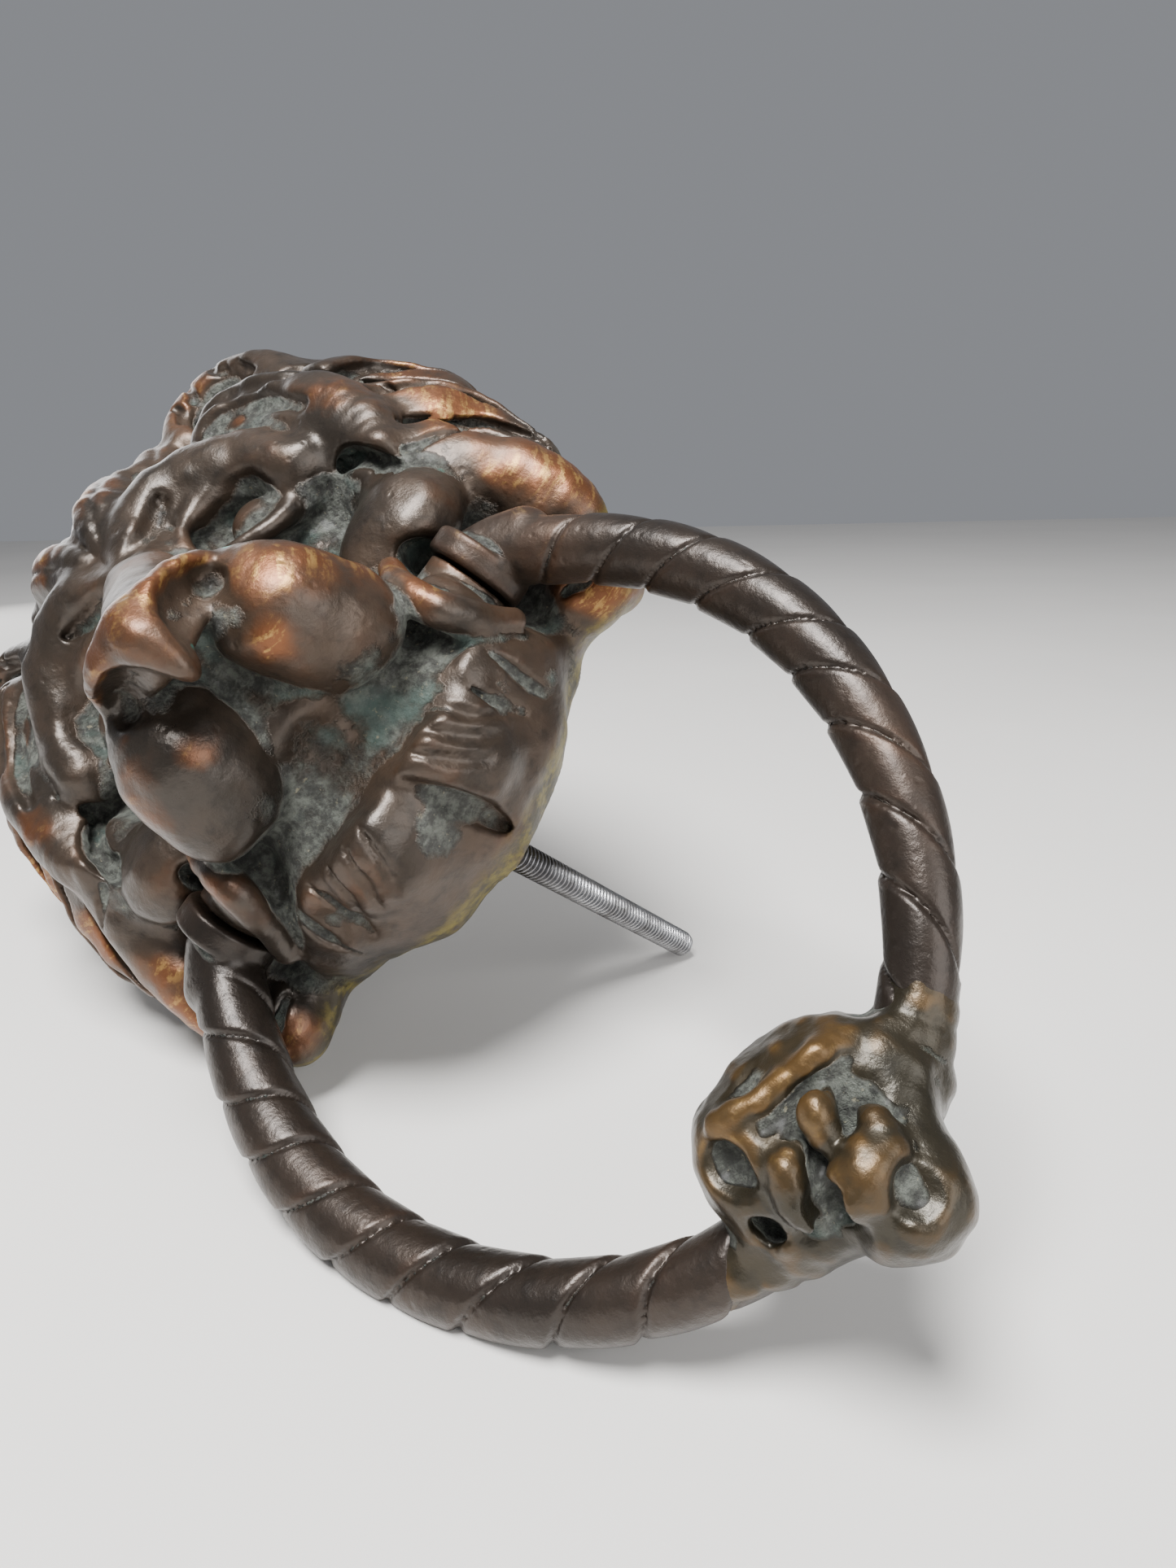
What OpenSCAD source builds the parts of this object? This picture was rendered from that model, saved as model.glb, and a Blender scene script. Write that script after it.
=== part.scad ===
// Lion-head door knocker: hollow cast head with a twisted-rope ring
// hinged at the mouth corners, a cast striker on the ring and a threaded
// stud that passes through the door.
// +Z is up, +Y points into the door, the door face is the plane y = 0,
// and the stud leaves the door face at the origin.

/* [Head] */
// Half width of the mane at the back rim
head_half_w = 78; // [70:1:90]
// Height of the crown above the stud
crown_z = 150; // [140:1:165]
// Depth from the back rim to the nose tip
head_depth = 84; // [76:1:92]
// Thickness of the cast wall at the back rim
wall = 5; // [4:0.5:7]

/* [Hinge] */
// Height of the hinge line above the stud
hinge_z = 22.5; // [20:0.5:26]
// Distance of the hinge line in front of the door
hinge_front = 27; // [25:0.5:30]
// Radius of each pivot pin
pin_r = 3; // [2:0.25:3.5]
// Radial running clearance of a pin in the head
pin_gap = 0.08; // [0.03:0.01:0.1]
// Angle of the ring from hanging straight down towards the door
rest_angle = 10; // [0:1:10]

/* [Ring] */
// Mean radius of the ring's centreline
ring_r = 64.7; // [62:0.1:68]
// Radius of the rope half way down the ring
rope_r = 6.2; // [5:0.1:7]
// Depth of the groove between two strands, as a share of the rope's radius
groove = 0.14; // [0:0.01:0.2]
// Number of full turns of a strand from one end to the other
twist_turns = 8; // [4:1:10]
// Radius of the flange on each end of the ring
flange_r = 9.3; // [8:0.1:10]
// Thickness of each flange
flange_t = 5.5; // [4:0.5:7]

/* [Striker] */
// Width of the striker along the hinge direction
striker_w = 34; // [28:1:38]
// Length of the striker along the ring's radius
striker_h = 31; // [26:1:34]

/* [Stud] */
// Major radius of the threaded stud, a quarter inch across
stud_r = 3.175; // [3:0.005:3.25]
// Length of the stud beyond the door face
stud_out = 74; // [40:1:100]
// Length of the stud screwed into the head
stud_in = 18; // [12:1:20]
// radius of the stud inside the boss
stud_root_r = 2.9;

/* [Hidden] */

bronze = [0.23, 0.15, 0.11];
ring_bronze = [0.20, 0.14, 0.11];
worn_bronze = [0.36, 0.24, 0.13];
steel = [0.42, 0.42, 0.42];

// ---- head outline: half of the back rim, from the chin to the crown ----
ox = [[0, 0], [1, 9], [2, 17], [3, 25], [4, 33], [5, 45], [6, 58], [7, 66], [8, 72],
      [9, 76], [10, 78], [11, 78], [12, 76], [13, 70], [14, 55], [15, 30], [16, 0]];
oz = [[0, -6], [1, -5], [2, -1], [3, 5], [4, 12], [5, 15], [6, 16], [7, 26], [8, 42],
      [9, 60], [10, 80], [11, 100], [12, 119], [13, 134], [14, 144], [15, 149], [16, 150]];
// sections towards the nose: depth share, width share, height share, centre height
lv = [[0, 1, 1, 70], [0.06, 1.0, 1.0, 70], [0.13, 0.99, 0.995, 70], [0.20, 0.955, 0.985, 70],
      [0.27, 0.90, 0.97, 69], [0.34, 0.83, 0.95, 68], [0.41, 0.75, 0.93, 67],
      [0.48, 0.66, 0.90, 65.5], [0.55, 0.57, 0.82, 62.5], [0.62, 0.47, 0.73, 57.5],
      [0.69, 0.38, 0.61, 49], [0.76, 0.31, 0.455, 37.5], [0.83, 0.25, 0.295, 26.5],
      [0.89, 0.20, 0.19, 19], [0.94, 0.15, 0.12, 15], [0.98, 0.08, 0.06, 12]];
nh = 32;   // steps from chin to crown on each side
n = 2 * nh;
function side(i) = i <= nh ? i : n - i;
function sgn(i) = i <= nh ? 1 : -1;
function rx(i) = sgn(i) * lookup(side(i) * 16 / nh, ox) * head_half_w / 78;
function rz(i) = let (z = lookup(side(i) * 16 / nh, oz)) z > 70 ? 70 + (z - 70) * (crown_z - 70) / 80 : z;
function bump(p, c, w) = exp(-pow(norm([(p[0] - c[0]) / w[0], (p[1] - c[1]) / w[1], (p[2] - c[2]) / w[2]]), 2));
function ax(p) = [abs(p[0]), p[1], p[2]];
// swelling of the surface, in millimetres: mane locks, pads, brow, cheeks, chin
function swell(p) =
    let (q = ax(p), a = atan2(q[0], q[2] - 60), e = q[1] > -30 ? 1 : 0.3)
    2.2 * e * (q[2] > 30 ? abs(sin(a * 3.5 + q[1] * 2)) : 0) * (1 - bump(q, [0, 0, -10], [60, 60, 30]))
    + 5.0 * bump(q, [14, -52, 14], [12, 14, 12])
    + 3.0 * bump(q, [0, -80, 10], [9, 10, 10])
    + 5.0 * bump(q, [22, -44, 68], [12, 12, 10])
    - 4.0 * bump(q, [17, -52, 52], [8, 10, 7])
    + 3.0 * bump(q, [32, -36, 48], [10, 12, 12])
    + 5.0 * bump(q, [10, -24, -2], [14, 18, 12])
    + 5.0 * bump(q, [34, -30, 16], [10, 12, 10])
    - 2.0 * bump(q, [0, -44, 2], [18, 7, 6]);
function head_pt(i, k, d) =
    let (s = lv[k], bx = rx(i) * s[1], bz = s[3] + (rz(i) - 70) * s[2], y = -s[0] * head_depth,
         r = max(0.001, norm([bx, bz - s[3]])), u = [bx / r, 0, (bz - s[3]) / r],
         p = [bx, y, bz], g = d == 0 ? swell(p) : 0)
    [bx + u[0] * (g - d), y + (d > 0 ? d * 0.9 : 0), bz + u[2] * (g - d)];
// faces of a stack of m closed sections of n points, then one centre point for each end
function ring_faces(n, m) = concat(
    [for (i = [0:n - 1]) [m * n, i, (i + 1) % n]],
    [for (i = [0:n - 1]) [m * n + 1, (m - 1) * n + (i + 1) % n, (m - 1) * n + i]],
    [for (k = [0:m - 2], i = [0:n - 1]) [k * n + i, (k + 1) * n + i, k * n + (i + 1) % n]],
    [for (k = [0:m - 2], i = [0:n - 1]) [k * n + (i + 1) % n, (k + 1) * n + i, (k + 1) * n + (i + 1) % n]]);

// solid face and mane, flat at the door face
module head_solid() {
    m = len(lv);
    polyhedron(points = concat([for (k = [0:m - 1], i = [0:n - 1]) head_pt(i, k, 0)],
            [[0, 0, 70], [0, -0.98 * head_depth, lv[m - 1][3]]]),
        faces = ring_faces(n, m), convexity = 8);
}

// hollow behind the face: the same sections moved in by the wall
module head_hollow() {
    m = 11;
    polyhedron(points = concat(
            [for (i = [0:2:n - 1]) let (p = head_pt(i, 0, wall)) [p[0], 1, p[2]]],
            [for (k = [1:m - 1], i = [0:2:n - 1]) head_pt(i, k, wall + 1)],
            [[0, 1, 70], [0, -lv[m - 1][0] * head_depth + (wall + 1) * 0.9, lv[m - 1][3]]]),
        faces = ring_faces(nh, m), convexity = 6);
}

// clearance around each end of the ring, and in front for the rod as it swings
module end_room(s) {
    translate([s * 39.5, -hinge_front, hinge_z]) rotate([0, s * 90, 0])
        cylinder(r = flange_r + 1.2, h = 60, $fn = 48);
    intersection() {
        translate([s * 43, -hinge_front, hinge_z]) rotate([0, s * 90, 0])
            cylinder(r1 = flange_r + 4, r2 = 46, h = 31, $fn = 48);
        translate([0, -hinge_front - 43, hinge_z - 38]) cube([200, 100, 100], center = true);
    }
}

module head_casting() {
    color(bronze)
    difference() {
        union() {
            difference() {
                head_solid();
                head_hollow();
                for (s = [-1, 1]) end_room(s);
            }
            // ears
            for (s = [-1, 1]) translate([s * 47, -34, 132]) rotate([-10, 0, s * 10])
                scale([14, 9, 15.5]) sphere(r = 1, $fn = 32);
            // sockets that carry the pivot pins
            for (s = [-1, 1]) translate([s * 23, -hinge_front, hinge_z]) rotate([0, s * 90, 0])
                cylinder(r = 8.5, h = 16.5, $fn = 48);
            // boss that holds the stud, joined to the chin wall
            translate([0, -2, 0]) rotate([90, 0, 0]) cylinder(r = 7.5, h = stud_in + 4, $fn = 48);
        }
        for (s = [-1, 1]) translate([s * 15, -hinge_front, hinge_z]) rotate([0, s * 90, 0]) {
            cylinder(r = pin_r + pin_gap, h = 25, $fn = 48);
            cylinder(r = 6.2, h = 7.8, $fn = 48);
        }
        translate([0, 1, 0]) rotate([90, 0, 0]) cylinder(r = stud_root_r, h = stud_in + 1, $fn = 48);
        // open notch where the stud passes the chin's rim
        translate([0, 1, 0]) rotate([90, 0, 0]) cylinder(r = stud_r + 0.5, h = 3, $fn = 48);
    }
}

// ---- ring: centreline in the ring's own plane, a = 0 at the striker ----
function cr(a) = ring_r * (1 + 0.065 * cos(2 * a) - 0.007 * cos(3 * a) + 0.012 * cos(4 * a));
ring_drop = 46.1;   // centre of the ring below the hinge line
end_a = 134;        // angle at which the rope enters its flange
function cl(a) = [cr(a) * sin(a), 0, -ring_drop - cr(a) * cos(a)];
function rope(a) = rope_r - 0.5 - 0.5 * cos(a) - 0.5 * cos(2 * a) + 0.3;
ns = 18;      // points round the rope
nr = 100;     // steps along the rope
function strand(b) = 1 - groove * pow(abs(cos(b * 1)), 6);
function rope_pt(j, b) =
    let (a = -end_a + 2 * end_a * j / nr, c = cl(a), d = cl(a + 0.5) - cl(a - 0.5), t = d / norm(d),
         nrm = [-t[2], 0, t[0]], tw = 360 * twist_turns * j / nr / 2,
         edge = min(1, min(j, nr - j) / 10),
         r = rope(a) * (1 - edge * (1 - strand(b + tw))))
    c + nrm * (r * cos(b)) + [0, 1, 0] * (r * sin(b));
module rope_rod(j0, j1) {
    nj = j1 - j0;
    polyhedron(points = concat([for (j = [j0:j1], i = [0:ns - 1]) rope_pt(j, i * 360 / ns)],
            [cl(-end_a + 2 * end_a * j0 / nr), cl(-end_a + 2 * end_a * j1 / nr)]),
        faces = concat([for (i = [0:ns - 1]) [(nj + 1) * ns, (i + 1) % ns, i]],
            [for (i = [0:ns - 1]) [(nj + 1) * ns + 1, nj * ns + i, nj * ns + (i + 1) % ns]],
            [for (j = [0:nj - 1], i = [0:ns - 1]) [j * ns + i, j * ns + (i + 1) % ns, (j + 1) * ns + i]],
            [for (j = [0:nj - 1], i = [0:ns - 1]) [j * ns + (i + 1) % ns, (j + 1) * ns + (i + 1) % ns, (j + 1) * ns + i]]),
        convexity = 8);
}
module in_ring() { translate([0, -hinge_front, hinge_z]) rotate([rest_angle, 0, 0]) children(); }

module rope_ring() {
    color(ring_bronze)
    in_ring() difference() {
        union() {
            rope_rod(0, nr);
            for (s = [-1, 1]) {
                translate([s * 40, 0, 0]) rotate([0, s * 90, 0]) cylinder(r = flange_r, h = flange_t, $fn = 64);
                translate([s * (40 + flange_t), 0, 0]) sphere(r = 6.4, $fn = 48);
            }
        }
        for (s = [-1, 1]) translate([s * 39, 0, 0]) rotate([0, s * 90, 0]) cylinder(r = pin_r, h = 10, $fn = 48);
    }
}

// rounded lump cast round the rope, flat where it meets the door
module striker_block() {
    translate([0, 0, -ring_drop - cr(0)]) rotate([-rest_angle, 0, 0])
    intersection() {
        translate([0, -1.2, 0]) rotate([90, 0, 0]) translate([0, 0, -12])
            linear_extrude(height = 24, convexity = 4)
            intersection() {
                square([striker_w, striker_h], center = true);
                circle(r = striker_w * 0.56, $fn = 64);
            }
        translate([0, -17.5, 0]) sphere(r = 30, $fn = 64);
        translate([0, 7 - 20, 0]) cube([80, 40, 80], center = true);
        translate([0, 15, 0]) sphere(r = 30, $fn = 64);
    }
}
module striker() {
    color(worn_bronze) in_ring() difference() {
        striker_block();
        rope_rod(nr / 2 - 10, nr / 2 + 10);
    }
}

// ---- pivot pins: round head inside the hollow, shank pressed into the ring ----
module pivot_pin(s) {
    color(steel) translate([s * 20, -hinge_front, hinge_z]) rotate([0, s * 90, 0]) {
        translate([0, 0, -0.3]) cylinder(r = 5.2, h = 2.5, $fn = 48);
        cylinder(r = pin_r, h = 29, $fn = 48);
    }
}
module left_pivot_pin() { pivot_pin(-1); }
module right_pivot_pin() { pivot_pin(1); }

// ---- stud: plain cylinder at the thread's major diameter, thinner in the boss ----
module mounting_stud() {
    color(steel) translate([0, stud_out, 0]) rotate([90, 0, 0]) {
        cylinder(r = stud_r, h = stud_out, $fn = 48);
        cylinder(r = stud_root_r, h = stud_out + stud_in, $fn = 48);
    }
}

head_casting();
rope_ring();
striker();
left_pivot_pin();
right_pivot_pin();
mounting_stud();
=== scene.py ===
"""Cast lion-head door knocker: head, rope ring, striker, pivot pins and threaded stud."""
import bpy
import math
import numpy as np
import openvdb
from mathutils import Matrix, Vector


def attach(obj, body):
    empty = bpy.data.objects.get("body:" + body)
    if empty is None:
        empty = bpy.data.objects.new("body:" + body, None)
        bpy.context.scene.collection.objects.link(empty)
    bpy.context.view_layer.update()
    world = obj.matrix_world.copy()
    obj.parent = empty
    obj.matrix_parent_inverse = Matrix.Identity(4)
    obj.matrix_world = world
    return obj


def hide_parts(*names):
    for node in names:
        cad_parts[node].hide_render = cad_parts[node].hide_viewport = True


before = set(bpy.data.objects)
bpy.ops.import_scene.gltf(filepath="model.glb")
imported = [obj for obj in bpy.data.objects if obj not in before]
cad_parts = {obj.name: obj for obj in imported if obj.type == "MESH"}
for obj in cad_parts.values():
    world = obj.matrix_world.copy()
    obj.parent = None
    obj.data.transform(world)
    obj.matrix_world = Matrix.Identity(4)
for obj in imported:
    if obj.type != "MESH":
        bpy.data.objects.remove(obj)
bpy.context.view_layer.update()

# Sizes and places are in millimetres in the row frame: x across, y into the door, z up.
MM = 0.001
HINGE = np.array([0.0, -27.0, 22.5])      # a point of the hinge line, which runs along x
REST_TILT = math.radians(10.0)            # the ring leans towards the door at rest

HEAD_CELL = 0.7         # grid steps for the sculpted pieces
RING_CELL = 0.45

WALL = 5.0               # of the hollow head
SOCKET_R = 8.5           # solid round each pivot pin, and its middle and half length in x
SOCKET_MID, SOCKET_HALF = 31.2, 8.2
PIN_BORE_R, PIN_BORE_FROM, PIN_BORE_TO = 3.1, 15, 41
POCKET_R, POCKET_MID, POCKET_HALF = 6.2, 19, 3.9      # for each pin's head
BOSS_R, BOSS_MID, BOSS_HALF = 7.5, -13, 11.0          # round the stud, along y
STUD_BORE_R, STUD_START = 2.95, -18.0
ROOM_FROM = 39.6         # |x| where the ring's room starts
FLANGE_ROOM = 11.2       # radius left free round the flanges
KNUCKLE_FROM, KNUCKLE_ROOM = 43, 12.8                 # and outside them, round the knuckles
LEG_ROOM = 7.6           # beyond the ring's centreline, for its legs
SWING = (-24, 126)       # degrees of turn that the legs sweep, with some spare

RING_R, RING_DROP = 64.7, 46.1            # mean radius, and the middle's depth under the hinge
END_ANGLE = math.radians(134)             # from the striker to each end of the ring
STRANDS = 16.1                            # turns of the rope's strands, per turn of the ring
FLANGE_R, FLANGE_MID, FLANGE_HALF, FLANGE_EDGE = 9.1, 42.75, 1.65, 1.05

STUD_R, STUD_ROOT_R, STUD_PITCH = 3.175, 2.35, 1.27   # quarter inch, 20 threads per inch
STUD_FROM, STUD_TO = -17.5, 74.0
STUD_IN_BOSS_R = 2.88


# ------------------------------------------------------------------ clay
def smin(a, b, k):
    """Smaller of two fields, with the crease between them filled over a width k."""
    h = np.clip(0.5 + 0.5 * (b - a) / k, 0, 1)
    return b * (1 - h) + a * h - k * h * (1 - h)


def smax(a, b, k):
    """Larger of two fields, with the edge between them rounded over a width k."""
    return -smin(-a, -b, k)


def spline(points, step=3.0):
    """Catmull-Rom line through points whose last number is a radius."""
    p = np.array(points, float)
    if len(p) == 2:
        return np.array([p[0] + (p[1] - p[0]) * t for t in (0, 0.25, 0.5, 0.75, 1)])
    q = np.vstack([2 * p[0] - p[1], p, 2 * p[-1] - p[-2]])
    out = []
    for i in range(1, len(q) - 2):
        n = max(2, int(np.linalg.norm(q[i + 1][:3] - q[i][:3]) / step))
        for t in np.arange(n) / n:
            a, b, c, d = q[i - 1:i + 3]
            out.append(0.5 * (2 * b + (c - a) * t + (2 * a - 5 * b + 4 * c - d) * t * t
                              + (3 * b - a - 3 * c + d) * t ** 3))
    out.append(p[-1])
    return np.array(out)


class Clay:
    """A block of signed distances in millimetres that is built up and carved."""

    def __init__(self, lo, hi, h):
        self.h = h
        self.lo = np.array(lo, float)
        n = np.ceil((np.array(hi) - self.lo) / h).astype(int) + 1
        self.ax = [(self.lo[i] + h * np.arange(n[i])).astype(np.float32) for i in range(3)]
        self.v = np.full(tuple(n), 25.0, np.float32)

    def window(self, lo, hi):
        """Slices and coordinates of the cells between two corners."""
        s = []
        for i in range(3):
            a = max(0, int(np.searchsorted(self.ax[i], lo[i])) - 1)
            b = min(len(self.ax[i]), int(np.searchsorted(self.ax[i], hi[i])) + 1)
            if b <= a:
                return None, None
            s.append(slice(a, b))
        x, y, z = (self.ax[i][s[i]] for i in range(3))
        return tuple(s), (x[:, None, None], y[None, :, None], z[None, None, :])

    def put(self, s, d, k, cut):
        v = self.v[s]
        self.v[s] = smax(v, -d, k) if cut else smin(v, d, k)

    def ball(self, c, r, k=3.0, cut=False):
        """Ellipsoid at c with half-sizes r."""
        r = np.array(r, float)
        pad = r + k + 3
        s, (x, y, z) = self.window(np.array(c) - pad, np.array(c) + pad)
        if s is None:
            return
        x, y, z = x - c[0], y - c[1], z - c[2]
        a = np.sqrt((x / r[0]) ** 2 + (y / r[1]) ** 2 + (z / r[2]) ** 2)
        b = np.sqrt((x / r[0] ** 2) ** 2 + (y / r[1] ** 2) ** 2 + (z / r[2] ** 2) ** 2)
        self.put(s, (a * (a - 1) / np.maximum(b, 1e-6)).astype(np.float32), k, cut)

    def rope(self, points, k=2.0, cut=False, grooves=0, depth=0.0):
        """Swept round lock through (x, y, z, radius) points, ribbed lengthwise by
        grooves of a given depth."""
        p = spline(points)
        pad = p[:, 3].max() + k + 3
        s, (x, y, z) = self.window(p[:, :3].min(0) - pad, p[:, :3].max(0) + pad)
        if s is None:
            return
        best = None
        for a, b in zip(p[:-1], p[1:]):
            d = b[:3] - a[:3]
            L = float(d @ d) or 1e-9
            t = np.clip(((x - a[0]) * d[0] + (y - a[1]) * d[1] + (z - a[2]) * d[2]) / L, 0, 1)
            wx, wy, wz = x - a[0] - t * d[0], y - a[1] - t * d[1], z - a[2] - t * d[2]
            r = a[3] + (b[3] - a[3]) * t
            e = np.sqrt(wx * wx + wy * wy + wz * wz) - r
            if grooves:
                # ribs are counted across the lock, seen from outside the head
                o = np.array([(a[0] + b[0]) / 2, -40.0 + (a[1] + b[1]) / 4, (a[2] + b[2]) / 2 - 70])
                o = o - d * (o @ d) / L
                o /= np.linalg.norm(o) + 1e-9
                side = np.cross(d / math.sqrt(L), o)
                u = (wx * side[0] + wy * side[1] + wz * side[2]) / r
                e = e + depth * (1 - np.abs(np.cos(math.pi * 0.5 * grooves * u))) ** 2
            best = e if best is None else np.minimum(best, e)
        self.put(s, best.astype(np.float32), k, cut)

    def groove(self, points, k, sink=0.3):
        """A cut that follows the surface nearest to its points."""
        line = np.array(spline(points), float)
        p = line[:, :3]
        for _ in range(8):
            p -= normals(self, p) * (0.8 * (self.sample(self.v, p) + sink))[:, None]
        line[:, :3] = p
        self.rope([tuple(q) for q in line], k, cut=True)

    def mirrored(self):
        """The same clay with its other half, across x = 0."""
        c = Clay.__new__(Clay)
        c.h, c.lo = self.h, self.lo.copy()
        i0 = int(round(-self.lo[0] / self.h))
        half = self.v[i0:]
        c.v = np.ascontiguousarray(np.concatenate([half[:0:-1], half], 0))
        c.lo[0] = -(len(half) - 1) * self.h
        c.ax = [(c.lo[i] + c.h * np.arange(c.v.shape[i])).astype(np.float32) for i in range(3)]
        return c

    def waves(self, size, height, seed):
        """Smooth random swelling of a given size and height."""
        rng = np.random.default_rng(seed)
        w, g = [], []
        for a in self.ax:
            t = (a - a[0]) / size
            n = int(t[-1]) + 3
            i = t.astype(int)
            f = t - i
            f = f * f * (3 - 2 * f)
            m = np.zeros((len(a), n), np.float32)
            m[np.arange(len(a)), i] = 1 - f
            m[np.arange(len(a)), i + 1] = f
            w.append(m)
            g.append(n)
        c = rng.uniform(-1, 1, g).astype(np.float32)
        f = np.einsum("ai,ijk->ajk", w[0], c, optimize=True)
        f = np.einsum("bj,ajk->abk", w[1], f, optimize=True)
        self.v += height * np.einsum("ck,abk->abc", w[2], f, optimize=True)

    def blurred(self, n):
        """Box blur of the clay, n cells each way, done twice."""
        v = self.v
        for _ in range(2):
            for axis in range(3):
                pad = [(0, 0)] * 3
                pad[axis] = (n + 1, n)
                c = np.cumsum(np.pad(v, pad, mode="edge"), axis=axis, dtype=np.float64)
                m = v.shape[axis]
                hi = np.take(c, np.arange(2 * n + 1, 2 * n + 1 + m), axis=axis)
                lo = np.take(c, np.arange(0, m), axis=axis)
                v = ((hi - lo) / (2 * n + 1)).astype(np.float32)
        return v

    def sample(self, field, p):
        """Values of a field of this clay at points p, in millimetres."""
        q = (p - self.lo) / self.h
        i = np.clip(q.astype(int), 0, np.array(field.shape) - 2)
        f = np.clip(q - i, 0, 1)
        out = 0
        for dx in (0, 1):
            for dy in (0, 1):
                for dz in (0, 1):
                    w = ((f[:, 0] if dx else 1 - f[:, 0]) * (f[:, 1] if dy else 1 - f[:, 1])
                         * (f[:, 2] if dz else 1 - f[:, 2]))
                    out = out + w * field[i[:, 0] + dx, i[:, 1] + dy, i[:, 2] + dz]
        return out

    def surface(self):
        """Points in millimetres and four-sided faces of the clay's skin."""
        g = openvdb.FloatGrid(background=3.0)
        v = np.clip(self.v, -3, 3)
        for a in range(3):
            for e in (0, -1):
                i = [slice(None)] * 3
                i[a] = e
                v[tuple(i)] = np.maximum(v[tuple(i)], 0.5)
        g.copyFromArray(v)
        p, quads = g.convertToQuads(isovalue=0.0)
        return p * self.h + self.lo, quads


def piece(name, points, faces, material, body, node, values=None):
    """A visible piece from points in millimetres, riding a body for a CAD node."""
    me = bpy.data.meshes.new(name)
    me.vertices.add(len(points))
    me.vertices.foreach_set("co", (np.asarray(points, np.float32) * MM).ravel())
    faces = np.asarray(faces, np.int32)
    me.loops.add(faces.size)
    me.loops.foreach_set("vertex_index", faces.ravel())
    me.polygons.add(len(faces))
    me.polygons.foreach_set("loop_start", np.arange(0, faces.size, faces.shape[1], dtype=np.int32))
    me.update(calc_edges=True)
    me.validate()
    me.polygons.foreach_set("use_smooth", [True] * len(me.polygons))
    for key, val in (values or {}).items():
        a = me.attributes.new(key, "FLOAT", "POINT")
        a.data.foreach_set("value", np.asarray(val, np.float32))
    ob = bpy.data.objects.new(name, me)
    bpy.context.scene.collection.objects.link(ob)
    me.materials.append(material)
    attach(ob, body)
    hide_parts(node)


def swirl(p, size, seed):
    """Smooth random number from -1 to 1 at each point."""
    table = np.random.default_rng(seed).uniform(-1, 1, 4096).astype(np.float32)
    q = p / size + 100.0
    i = np.floor(q).astype(np.int64)
    f = q - i
    f = f * f * (3 - 2 * f)
    out = 0
    for dx in (0, 1):
        for dy in (0, 1):
            for dz in (0, 1):
                h = ((i[:, 0] + dx) * 73856093 ^ (i[:, 1] + dy) * 19349663
                     ^ (i[:, 2] + dz) * 83492791) & 4095
                w = ((f[:, 0] if dx else 1 - f[:, 0]) * (f[:, 1] if dy else 1 - f[:, 1])
                     * (f[:, 2] if dz else 1 - f[:, 2]))
                out = out + w * table[h]
    return out


# ------------------------------------------------------------------ ring path
def ring_radius(a):
    """Distance of the centreline from the ring's middle at angle a from the striker."""
    return RING_R * (1 + 0.065 * np.cos(2 * a) - 0.007 * np.cos(3 * a) + 0.012 * np.cos(4 * a))


def ring_line(a):
    """Ring's centreline in its own plane at angle a (radians) from the striker."""
    r = ring_radius(a)
    return r * np.sin(a), -RING_DROP - r * np.cos(a)


def to_row(p):
    """From the ring's own frame (mm) to the row frame at rest."""
    c, s = math.cos(REST_TILT), math.sin(REST_TILT)
    out = p.copy()
    out[:, 1] = HINGE[1] + c * p[:, 1] - s * p[:, 2]
    out[:, 2] = HINGE[2] + s * p[:, 1] + c * p[:, 2]
    return out


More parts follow.
